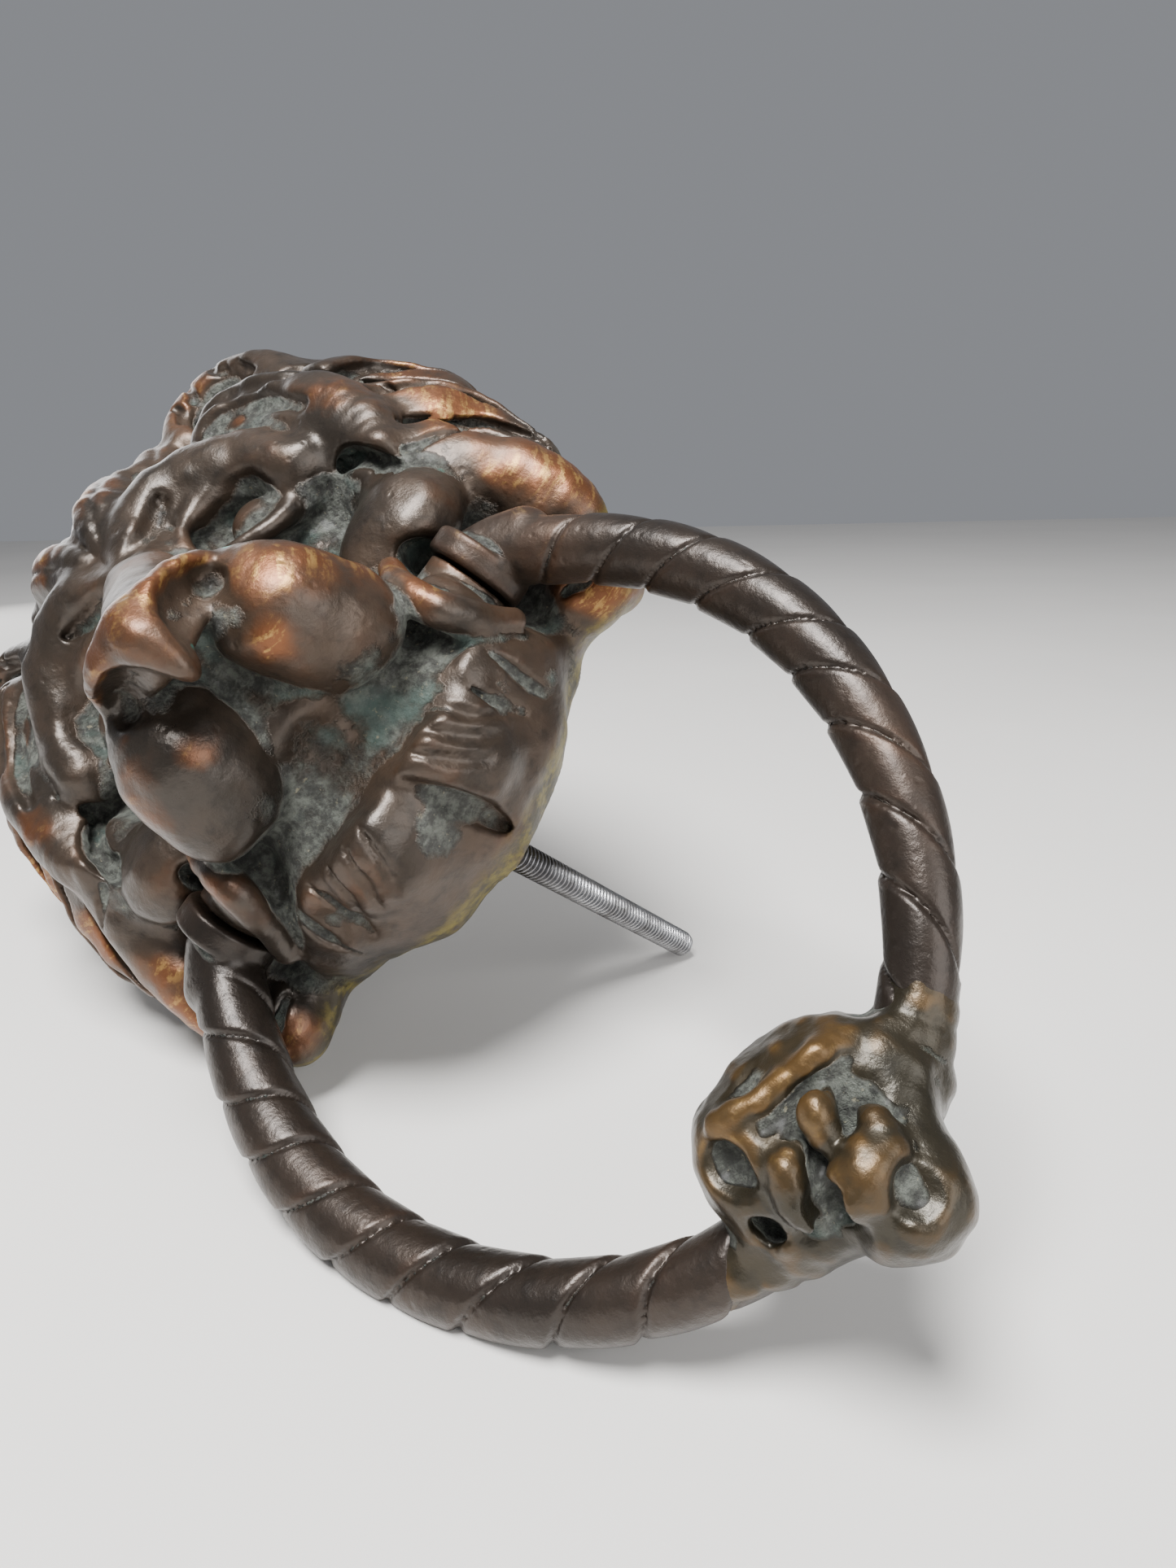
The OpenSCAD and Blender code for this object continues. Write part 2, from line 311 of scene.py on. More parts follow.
# ------------------------------------------------------------------ head
def sculpt_head(h):
    """Half of the head, x >= 0."""
    c = Clay((-2 * h, -86, -15), (84, 8, 155), h)
    # broad masses: mane, skull, forehead, jaw, chin
    c.ball((0, 9, 86), (76, 33, 63), 6)
    c.ball((0, -4, 94), (60, 43, 54), 8)
    c.ball((0, -20, 114), (38, 32, 29), 8)
    c.ball((0, -6, 37), (47, 32, 36), 8)
    c.ball((0, -15, 9), (34, 22, 17.5), 5)
    # mane locks down each side, from crown to jaw
    for pts in (
        [(34, -30, 128, 9), (45, -26, 136, 10), (57, -17, 134, 11), (65, -10, 124, 9),
         (68, -6, 115, 5)],
        [(46, -34, 115, 9), (58, -29, 121, 11), (67, -19, 117, 11), (72, -12, 104, 9), (74, -7, 92, 5)],
        [(50, -38, 100, 9), (62, -31, 102, 11), (69, -20, 95, 12), (72, -12, 80, 10), (73, -7, 66, 5)],
        [(51, -36, 81, 9), (61, -28, 79, 11), (68, -18, 68, 12), (70, -11, 54, 9), (69, -6, 42, 5)],
        [(50, -32, 61, 8), (57, -26, 56, 10), (63, -17, 45, 10), (65, -10, 33, 8), (62, -5, 23, 4.5)],
    ):
        c.rope(pts, 3.0, grooves=1, depth=0.6)
    # locks over the crown
    for x in (0, 13, 26):
        c.rope([(x * 0.8, -48, 125 - x * 0.2, 7), (x, -39, 135, 8), (x * 1.1, -26, 140, 8),
                (x * 1.3, -10, 139 - x * 0.1, 6)], 3, grooves=2, depth=1.0)
    # nose bridge and muzzle
    c.rope([(0, -44, 84, 13), (0, -54, 62, 11.5), (0, -61, 43, 10), (0, -65, 29, 7.5)], 5)
    c.ball((0, -40, 27), (25, 16, 18), 6)
    # cheek and brow roll
    c.ball((40, -32, 44), (15, 9, 12), 6)
    c.rope([(3, -54, 83, 6), (11, -54, 94, 8), (23, -51, 97, 8.5), (34, -47, 89, 8),
            (41, -43, 75, 6)], 3)
    # forehead tufts and the roll of hair behind the brow
    c.rope([(3, -57, 98, 5), (7, -57, 109, 7.5), (11, -52, 119, 8.5), (14, -45, 130, 7)],
           1.5, grooves=2, depth=1.2)
    c.rope([(29, -44, 102, 5), (34, -44, 108, 7), (41, -44, 111, 9.5), (49, -42, 102, 10),
            (54, -40, 87, 9.5), (56, -38, 72, 8), (54, -38, 60, 5)], 2.5)
    # ear: a scalloped shell standing behind the hair
    c.ball((48, -34, 127), (14, 8, 16), 4)
    c.rope([(33, -44, 129, 5), (37, -43, 138, 6), (45, -41, 142, 6.5), (54, -40, 138, 6.5),
            (60, -38, 127, 6.5), (61, -35, 112, 6)], 2.5)
    # lobes by the pivots
    c.rope([(44, -5, 22, 8), (50, -8, 14, 8), (54, -10, 11, 7.5), (56, -6, 13, 7)], 4)
    # chin lobes and the chin's sides
    c.ball((9.5, -24, -1), (12, 13.5, 9.5), 3)
    c.rope([(24, -31, 6, 4), (29, -22, 6, 5.5), (33, -12, 10, 6), (35, -4, 15, 5)], 6)
    # valleys fill, as thick wax and metal do: wide ones first, then narrow ones
    for size, keep in ((8.5, 1.5), (4.0, 0.5)):
        c.v = smin(c.v, c.blurred(max(1, int(round(size / h)))) + keep, 3.5)
    # creases between the mane's locks, each with a fine line above and below
    for pts in (
        [(57, -38, 96, 2.2), (67, -33, 98, 2.6), (77, -24, 93, 2.4), (81, -12, 78, 1.4)],
        [(58, -37, 90, 1.2), (68, -31, 88, 1.6), (77, -22, 80, 1.6), (80, -12, 68, 1.0)],
        [(58, -36, 78, 1.6), (66, -31, 76, 2.4), (76, -22, 66, 2.4), (78, -12, 52, 1.4)],
        [(57, -33, 68, 1.0), (65, -28, 64, 1.4), (73, -20, 54, 1.4), (75, -11, 44, 0.9)],
        [(55, -31, 60, 1.4), (62, -26, 54, 2.0), (70, -17, 42, 2.0), (71, -9, 32, 1.2)],
        [(58, -35, 107, 1.4), (66, -31, 112, 2.2), (75, -21, 110, 2.2), (79, -12, 98, 1.4)],
        [(50, -36, 124, 1.4), (59, -29, 131, 2.0), (68, -19, 130, 2.0), (74, -10, 118, 1.2)],
        [(38, -38, 134, 1.6), (45, -32, 143, 2.0), (56, -22, 146, 2.0), (66, -10, 136, 1.2)],
        [(50, -38, 76, 2.5), (52, -37, 62, 2.3), (50, -39, 51, 1.0)],
    ):
        c.groove(pts, 1.6, 0.6)
        for up in (-3.6, 3.8):
            c.groove([(x, y, z + up, 0.9) for x, y, z, _ in pts], 0.8)
    # hair roll's folds and the ear's scallops
    c.groove([(38, -53, 105, 0.8), (44, -53, 102, 1.8), (49, -51, 93, 2.4), (53, -48, 80, 1.6)], 2.5)
    c.groove([(39, -53, 113, 1), (48, -51, 107, 1.6), (57, -46, 92, 1.2)], 1.5)
    c.groove([(30, -50, 115, 0.8), (36, -48, 121, 2.0), (46, -46, 122, 2.6), (56, -42, 110, 2.2),
              (61, -38, 94, 1.6)], 2, 0.8)
    c.ball((47, -45, 130), (9, 4.5, 8), 3, cut=True)
    for x, z in ((38, 132), (45, 137), (53, 134), (57, 123)):
        c.groove([(x, -49, z, 1.3), (x * 0.97 + 2, -46, z + 8, 1.1)], 1.2)
    # frown lines between brow and nose
    c.rope([(3, -62, 80, 1.4), (11, -58, 84, 2.2), (18, -57, 90, 1.4)], 2, cut=True)
    c.rope([(6, -59, 73, 2.0), (12, -54, 72, 3)], 3, cut=True)
    # eye in its socket, with its lids
    c.ball((24, -50, 75), (11, 9, 9.5), 3, cut=True)
    c.ball((25.5, -42.5, 75), (6.5, 5.5, 6.0), 2.0)
    c.rope([(12, -51, 74, 1.4), (15, -53, 81, 2.0), (21, -51, 86, 2.2), (29, -47, 86, 2.0),
            (37, -42, 80, 1.4)], 4.0)
    c.rope([(13, -50, 71, 1.6), (21, -47, 67, 2.0), (30, -43, 67, 2.2), (38, -39, 73, 1.8)], 4.0)
    # mouth: hollow under the pads, split below the nose, lips at the corners
    c.rope([(0, -67, 3, 1.2), (0, -59, 3, 3.2), (0, -51, 2, 5.5), (0, -44, 4, 7)], 2.0, cut=True)
    c.ball((0, -51, -3), (19, 13, 10), 4, cut=True)
    c.ball((20, -47, 1), (12, 9, 8), 4, cut=True)
    c.rope([(0, -44, 3, 9), (10, -43, 2, 8), (20, -41, 3, 6.5), (28, -37, 7, 5), (34, -31, 14, 3)],
           3.0, cut=True)
    c.ball((33, -31, 16), (5, 8, 8), 4)
    c.rope([(32.5, -39, 28, 2.0), (30.5, -41.5, 18, 3.0), (30.5, -40, 11, 3.2), (31.5, -36.5, 8, 3.2),
            (34, -30.5, 7, 3.0), (37, -25, 7.5, 2.2)], 2.0)
    c.ball((38.5, -30, 31), (4, 8, 6), 2, cut=True)
    # whisker pads, round and clear of the mouth
    c.rope([(12, -61.5, 26, 9), (15, -56, 19.5, 12.2), (17.5, -49.5, 17, 12.0)], 1.6)
    # nose leather: a crescent whose ends rise, with the septum and the nostrils behind it
    c.rope([(0, -74.5, 17, 6.5), (5, -73.5, 19, 6.2), (9, -71.5, 22, 5.2), (12.5, -69, 27, 3.5)], 1.5)
    c.rope([(0, -75, 13.5, 4.2), (0, -71, 9.5, 3.0)], 3)
    c.rope([(12.5, -70, 22, 2.8), (9.4, -73, 15, 4.4), (6.6, -72, 9, 4.6), (3.8, -66, 4, 4.2)],
           2.0, cut=True)
    # chiselled fur down the chin's sides
    for a, b, d in (
        ((7.5, -37, -4), (10.4, -32.1, -9), (14.2, -25.6, -10)),
        ((12, -36.2, -3.5), (15.2, -31.2, -7.6), (18.5, -24.8, -7.3)),
        ((15.8, -35, 0.5), (18.5, -30.4, -4.6), (22, -23.7, -4)),
        ((22.5, -34.5, 2), (22.6, -28, -2.6), (24.5, -19, -3)),
        ((29, -31, 3.0), (29.2, -25, 0.6), (28.8, -16, -1.2)),
    ):
        c.groove([(*a, 0.6), (*b, 1.2), (*d, 0.6)], 0.7, 0.0)
    # a fold across the lobe by the pivot
    c.groove([(47, -18, 10, 1.0), (52, -18, 7, 1.3), (58, -14, 9, 1.0)], 1.2)
    return c


def finish_head(c, h):
    """Both halves, hollowed from the back, with sockets, boss and room for the ring."""
    c = c.mirrored()
    c.waves(11, 0.95, 3)
    c.waves(5, 0.42, 5)
    X, Y, Z = c.ax[0][:, None, None], c.ax[1][None, :, None], c.ax[2][None, None, :]
    # notch in the chin, and a shallow step beside it
    c.rope([(1, -37, -4, 1.6), (3, -31, -9, 2.8), (4, -24, -10.5, 3.4), (5, -17, -9.5, 2.6),
            (5, -10, -7, 1)], 1.2, cut=True)
    c.rope([(-4, -36, -7, 0.8), (-1, -28, -11, 1.4), (1, -19, -11, 1.6)], 0.8, cut=True)
    hollow = c.blurred(max(1, int(round(2.0 / h)))) + WALL
    c.v = smax(c.v, -hollow, 1.0)
    # sockets for the pivot pins, and the stud's boss
    r = np.hypot(Y - HINGE[1], Z - HINGE[2])
    ax = np.abs(X)
    socket = np.maximum(r - SOCKET_R, np.abs(ax - SOCKET_MID) - SOCKET_HALF)
    c.v = smin(c.v, socket.astype(np.float32), 1.5)
    boss = np.maximum(np.hypot(X, Z) - BOSS_R, np.abs(Y - BOSS_MID) - BOSS_HALF)
    c.v = smin(c.v, boss.astype(np.float32), 1.5)
    # room round each end of the ring and for its swing
    a = np.linspace(math.radians(95), END_ANGLE, 40)
    lx, lz = ring_line(a)
    reach = np.interp(ax.ravel(), lx[::-1], np.abs(lz)[::-1]) + LEG_ROOM
    reach = np.where(ax.ravel() < KNUCKLE_FROM, FLANGE_ROOM, np.maximum(KNUCKLE_ROOM, reach))
    reach = reach.reshape(ax.shape)
    turn = np.degrees(np.arctan2(-(Y - HINGE[1]), -(Z - HINGE[2])))
    swept = (turn > SWING[0]) & (turn < SWING[1])
    room = np.maximum(r - np.where(swept, reach, FLANGE_ROOM), ROOM_FROM - ax)
    c.v = smax(c.v, -room.astype(np.float32), 0.6)
    # bores for the pins and the stud, and pockets for the pins' heads
    bore = np.maximum(np.maximum(r - PIN_BORE_R, PIN_BORE_FROM - ax), ax - PIN_BORE_TO)
    pocket = np.maximum(r - POCKET_R, np.abs(ax - POCKET_MID) - POCKET_HALF)
    stud = np.maximum(np.hypot(X, Z) - STUD_BORE_R, STUD_START - Y)
    for hole in (bore, pocket, stud):
        c.v = np.maximum(c.v, -hole.astype(np.float32))
    # flat back
    c.v = np.maximum(c.v, Y + 0 * X + 0 * Z)
    return c


def skin(c, fine, broad):
    """Surface of the clay, with how hollow (-1) or proud (+1) each point lies at three sizes."""
    pts, quads = c.surface()
    out = {}
    for key, mm in (("fine", fine), ("broad", broad), ("wide", broad * 2)):
        n = max(1, int(round(mm / c.h)))
        soft = c.sample(c.blurred(n), pts)
        out[key] = np.clip(soft / (0.10 * mm * mm ** 0.5 + 0.05), -1, 1)
    return pts, quads, out


def patches(pts, spots):
    """Strength 0 to 1 at each point from soft round spots (x, y, z, radius), on both sides."""
    q = pts.copy()
    q[:, 0] = np.abs(q[:, 0])
    out = np.zeros(len(q))
    for *centre, r in spots:
        out = np.maximum(out, np.exp(-((q - centre) ** 2).sum(1) / (r * r)))
    return out


# creases where dull deposit gathers, and high spots that hands have rubbed: x, y, z, radius
GRIME = [(34, -48, 104, 8), (0, -50, 6, 9), (14, -46, 6, 9), (24, -43, 9, 8), (0, -44, 2, 11),
         (10, -41, 4, 9), (20, -39, 7, 9), (29, -34, 10, 8), (35, -27, 16, 7),
         (4, -58, 3, 6), (10, -68, 12, 5), (6, -66, 6, 5), (25, -46, 70, 10), (36, -42, 64, 8),
         (30, -44, 58, 9), (14, -54, 60, 8), (12, -52, 72, 8), (38, -33, 30, 8), (48, -36, 62, 8),
         (46, -46, 92, 8), (30, -50, 108, 8), (20, -50, 112, 8), (54, -38, 104, 7), (60, -34, 96, 6),
         (52, -34, 52, 8), (30, -16, 4, 9), (26, -26, 3, 7), (34, -8, 10, 7), (44, -12, 16, 8),
         (52, -16, 8, 6), (47, -44, 132, 8), (2, -27, -10, 6), (38, -36, 46, 7)]
RUB = [(0, -80, 17, 6), (6, -79, 20, 6), (12, -74, 26, 6), (20.5, -66, 15.5, 7), (25, -61, 14.5, 7),
       (29, -54, 15, 6), (11, -61, 9, 4), (12, -64, 32, 6), (31, -41, 12, 4), (31, -40, 24, 4),
       (72, -28, 61, 10), (71, -16, 31, 11), (76, -22, 92, 12), (61, -22, 38, 8), (66, -26, 104, 9),
       (8, -62, 112, 9), (43, -49, 98, 6), (56, -47, 74, 7), (46, -46, 146, 8),
       (53, -14, 5, 7)]


def normals(c, pts):
    """Outward directions of the clay's field at points."""
    g = np.stack([c.sample(c.v, pts + d) - c.sample(c.v, pts - d)
                  for d in np.eye(3) * c.h * 1.5], 1)
    return g / (np.linalg.norm(g, axis=1, keepdims=True) + 1e-9)


# ------------------------------------------------------------------ ring and striker
def sculpt_ring(h):
    """Ring in its own frame: hinge line along x at the origin, hanging down -z."""
    c = Clay((-70, -12.5, -126), (70, 12.5, 13), h)
    X, Y, Z = c.ax[0][:, None, None], c.ax[1][None, :, None], c.ax[2][None, None, :]
    zc = Z + RING_DROP
    a = np.arctan2(X, -zc)
    rho = np.hypot(X, zc)
    slope = (-0.13 * np.sin(2 * a) + 0.021 * np.sin(3 * a) - 0.048 * np.sin(4 * a))
    across = (rho - ring_radius(a)) / np.sqrt(1 + slope ** 2)
    near = (np.abs(across) < 10) & (np.abs(a) < END_ANGLE + 0.03)
    i, k = np.nonzero(near[:, 0, :])
    aa, ac = a[i, 0, k][:, None], across[i, 0, k][:, None]
    yy = c.ax[1][None, :]
    phi = np.arctan2(yy, ac)
    # the strands fade out by the flanges and the striker, and wind unevenly
    fade = (np.clip((END_ANGLE - 0.10 - np.abs(aa)) / 0.10, 0, 1)
            * np.clip((np.abs(aa) - 0.16) / 0.1, 0, 1))
    psi = (phi + STRANDS * aa + 0.16 * np.sin(5 * aa + 1) + 0.12 * np.sin(11 * aa)
           + 0.18 * np.sin(2 * phi + 3 * aa))
    g = (psi / math.pi) % 1.0
    cut = np.exp(-((np.minimum(g, 1 - g)) / 0.05) ** 2)
    swell = 0.2 * np.sin(math.pi * g) + 0.45 * (g - 0.5)
    thick = 5.9 - 0.4 * np.cos(aa) - 0.5 * np.cos(2 * aa) - 0.25 * np.sin(aa)
    rad = thick + fade * (swell - 0.75 * cut)
    tube = np.hypot(ac, yy) - rad
    c.v[i, :, k] = np.clip(tube, -20, 20).astype(np.float32)
    # flanges with rounded edges, and the knuckle between flange and rope
    for s in (-1, 1):
        round_, flat = np.hypot(Y, Z) - FLANGE_R, np.abs(s * X - FLANGE_MID) - FLANGE_HALF
        inner = np.maximum(round_, flat)
        outer = np.hypot(np.maximum(round_, 0), np.maximum(flat, 0))
        d = np.where(inner > 0, outer, inner) - FLANGE_EDGE
        c.v = smin(c.v, d.astype(np.float32), 1.2)
        c.rope([(s * 45.0, 0, 0.3, 6.4), (s * 48, 0, -1.5, 6.1), (s * 52, 0, -5.5, 5.9)], 1.5)
        c.ball((s * 44.5, -1, 8.2), (1.6, 3, 1.6), 1.5)
    return c


def sculpt_striker(h):
    """Cast lump on the ring's lowest point, in the ring's frame."""
    c = Clay((-27, -22, -134), (27, 12, -92), h)
    # arms along the ring, then the lump
    c.rope([(-26, 0, -109, 4.4), (-19, 0, -111.6, 5.3), (-12, 0, -113.6, 7.4), (0, 0, -114, 9),
            (12, 0, -113.6, 7.4), (19, 0, -111.6, 5.3), (26, 0, -109, 4.4)], 1)
    c.ball((-1, -1, -110), (15.5, 11.5, 14), 3)
    c.ball((-7, -5, -107), (9.5, 9, 10), 3)
    c.ball((7, -3, -108), (8, 8, 7), 3)
    c.ball((0.5, -6, -124.5), (7.5, 8.5, 7.0), 4)
    c.rope([(13, -4, -112, 4), (8, -6, -119, 4), (4, -8, -126, 4)], 3)
    # hollows, curls and folds on its front
    c.ball((3.5, -12, -114), (6.5, 2.4, 5.0), 2, cut=True)
    c.ball((-9.5, -12.5, -106), (3.0, 2.6, 4.0), 2, cut=True)
    c.ball((-12.5, -8, -113), (2.4, 3, 3), 2, cut=True)
    c.ball((0.5, -13.6, -119.5), (5.8, 4.6, 4.4), 1.4)
    c.rope([(4.5, -12.5, -119.5, 3.2), (6.2, -12, -117, 2.2), (6.4, -11.5, -115, 1.0)], 1.2)
    c.rope([(5.2, -11.5, -109.5, 1.6), (3.4, -13.0, -110.6, 2.8), (1.4, -13.2, -113.2, 2.5),
            (0.8, -12.8, -116, 1.6)], 1.2)
    c.rope([(-2, -12.2, -111.4, 1.4), (-4.8, -13.0, -112.2, 2.5), (-7.2, -12.4, -114.4, 2.5),
            (-8.2, -11, -117, 1.8)], 1.2)
    c.ball((-4.8, -13.5, -118.6), (3.4, 5.5, 2.8), 0.9, cut=True)
    c.rope([(12, -8, -108.0, 1.4), (8.5, -11, -106.6, 2.1), (4.5, -11.6, -106.0, 1.8),
            (-1, -12.6, -104.0, 1.9), (-6, -12.6, -101.5, 1.4)], 1.6)
    c.rope([(10, -11.5, -109.6, 0.6), (4, -13, -108.6, 0.9), (-3, -14, -107, 0.6)], 1.2, cut=True)
    c.ball((0, -13, -100), (4.6, 2.2, 1.6), 1.5, cut=True)
    c.ball((3.5, -14.5, -125.5), (3.4, 2.2, 2.8), 1.6, cut=True)
    c.ball((-10, -9, -119), (3, 2, 3), 2, cut=True)
    c.waves(4.5, 0.6, 8)
    c.waves(2.2, 0.25, 9)
    # flat where it meets the door at rest
    X, Y, Z = c.ax[0][:, None, None], c.ax[1][None, :, None], c.ax[2][None, None, :]
    door = math.cos(REST_TILT) * Y - math.sin(REST_TILT) * Z + HINGE[1]
    c.v = smax(c.v, (door + 0 * X + 0.05).astype(np.float32), 0.8)
    return c


# ------------------------------------------------------------------ stud and pins
def wall_quads(rows, sides):
    """Corners a, b of each face's lower edge, for a tube of rows of points."""
    i, row = np.arange(sides)[None, :], np.arange(rows)[:, None] * sides
    return row + i, row + (i + 1) % sides


def stud_mesh():
    """Threaded rod along y, smooth inside its boss, with a chamfered tip."""
    sides, per_turn = 40, 10
    rows = int((STUD_TO - STUD_FROM) / STUD_PITCH * per_turn)
    y = STUD_FROM + (STUD_TO - STUD_FROM) * np.arange(rows + 1) / rows
    t = 2 * math.pi * np.arange(sides) / sides
    yy, tt = np.meshgrid(y, t, indexing="ij")
    g = (yy / STUD_PITCH - tt / (2 * math.pi)) % 1.0
    crest = np.clip((np.abs(g - 0.5) * 2 - 0.12) / 0.72, 0, 1)
    r = STUD_ROOT_R + (STUD_R - STUD_ROOT_R) * crest
    chamfer = STUD_R - np.clip(yy - (STUD_TO - 0.9), 0, 1) * 0.8
    r = np.minimum(r, np.where(yy < 0, np.minimum(STUD_IN_BOSS_R, chamfer), chamfer))
    p = np.stack([r * np.cos(tt), yy, r * np.sin(tt)], -1).reshape(-1, 3)
    k, k2 = wall_quads(rows, sides)
    f = np.stack([k, k2, k2 + sides, k + sides], -1).reshape(-1, 4)
    ends = []
    for row, flip, yc in ((0, False, STUD_FROM), (rows, True, STUD_TO)):
        base = len(p)
        p = np.vstack([p, [[0, yc, 0]]])
        for i in range(0, sides, 2):
            q = [row * sides + i, row * sides + (i + 1) % sides, row * sides + (i + 2) % sides]
            ends.append([base, *(q if flip else q[::-1])])
    return p, np.vstack([f, ends])


def lathe(profile, sides=48):
    """Turned solid about +x from (x, r) pairs; ends at r 0."""
    prof = np.array(profile, float)
    t = 2 * math.pi * np.arange(sides) / sides
    ring = [np.stack([np.full(sides, x), r * np.cos(t), r * np.sin(t)], 1) for x, r in prof]
    p = np.vstack(ring)
    k, k2 = wall_quads(len(prof) - 1, sides)
    return p, np.stack([k, k + sides, k2 + sides, k2], -1).reshape(-1, 4)


# ------------------------------------------------------------------ materials
class Nodes:
    """A material's node tree, with short names for the nodes used here."""

    def __init__(self, name):
        self.m = bpy.data.materials.new(name)
        self.m.use_nodes = True
        self.t = self.m.node_tree
        self.bsdf = self.t.nodes["Principled BSDF"]
        self.coord = self.t.nodes.new("ShaderNodeTexCoord")

    def link(self, a, b):
        self.t.links.new(a, b)

    def put(self, socket, v):
        if isinstance(v, bpy.types.NodeSocket):
            self.link(v, socket)
        else:
            socket.default_value = (*v, 1) if isinstance(v, tuple) else v

    def noise(self, scale, detail=4, rough=0.55, distort=0.0, stretch=None):
        n = self.t.nodes.new("ShaderNodeTexNoise")
        n.inputs["Scale"].default_value = scale
        n.inputs["Detail"].default_value = detail
        n.inputs["Roughness"].default_value = rough
        n.inputs["Distortion"].default_value = distort
        src = self.coord.outputs["Object"]
        if stretch:
            m = self.t.nodes.new("ShaderNodeMapping")
            m.inputs["Scale"].default_value = stretch
            m.inputs["Rotation"].default_value = (0.5, 0.3, 0.8)
            self.link(src, m.inputs["Vector"])
            src = m.outputs["Vector"]
        self.link(src, n.inputs["Vector"])
        return n.outputs["Fac"]

    def cells(self, scale):
        n = self.t.nodes.new("ShaderNodeTexVoronoi")
        n.inputs["Scale"].default_value = scale
        self.link(self.coord.outputs["Object"], n.inputs["Vector"])
        return n.outputs["Distance"]

    def attr(self, name):
        n = self.t.nodes.new("ShaderNodeAttribute")
        n.attribute_name = name
        return n.outputs["Fac"]

    def math(self, op, a, b):
        n = self.t.nodes.new("ShaderNodeMath")
        n.operation = op
        self.put(n.inputs[0], a)
        self.put(n.inputs[1], b)
        return n.outputs[0]

    def scaled(self, a, by):
        return self.math("MULTIPLY", a, by)

    def sum(self, first, *terms):
        """first plus each (value, factor) pair in turn."""
        for value, factor in terms:
            first = self.math("ADD", first, self.scaled(value, factor))
        return first

    def off(self, noise):
        """A noise about its middle."""
        return self.math("SUBTRACT", noise, 0.5)

    def step(self, v, lo, hi, out_lo=0.0, out_hi=1.0):
        n = self.t.nodes.new("ShaderNodeMapRange")
        n.interpolation_type = "SMOOTHSTEP"
        self.put(n.inputs["Value"], v)
        n.inputs["From Min"].default_value, n.inputs["From Max"].default_value = lo, hi
        n.inputs["To Min"].default_value, n.inputs["To Max"].default_value = out_lo, out_hi
        return n.outputs["Result"]

    def mix(self, fac, a, b):
        n = self.t.nodes.new("ShaderNodeMix")
        n.data_type = "RGBA"
        self.put(n.inputs[0], fac)
        self.put(n.inputs[6], a)
        self.put(n.inputs[7], b)
        return n.outputs[2]

    def blend(self, fac, a, b):
        n = self.t.nodes.new("ShaderNodeMix")
        n.data_type = "FLOAT"
        self.put(n.inputs[0], fac)
        self.put(n.inputs[2], a)
        self.put(n.inputs[3], b)
        return n.outputs[0]

    def bump(self, height, strength, distance, below=None):
        n = self.t.nodes.new("ShaderNodeBump")
        n.inputs["Strength"].default_value = strength
        n.inputs["Distance"].default_value = distance
        self.put(n.inputs["Height"], height)
        if below is not None:
            self.link(below, n.inputs["Normal"])
        return n.outputs["Normal"]

    def axis(self, i):
        n = self.t.nodes.new("ShaderNodeSeparateXYZ")
        self.link(self.coord.outputs["Object"], n.inputs[0])
        return n.outputs[i]


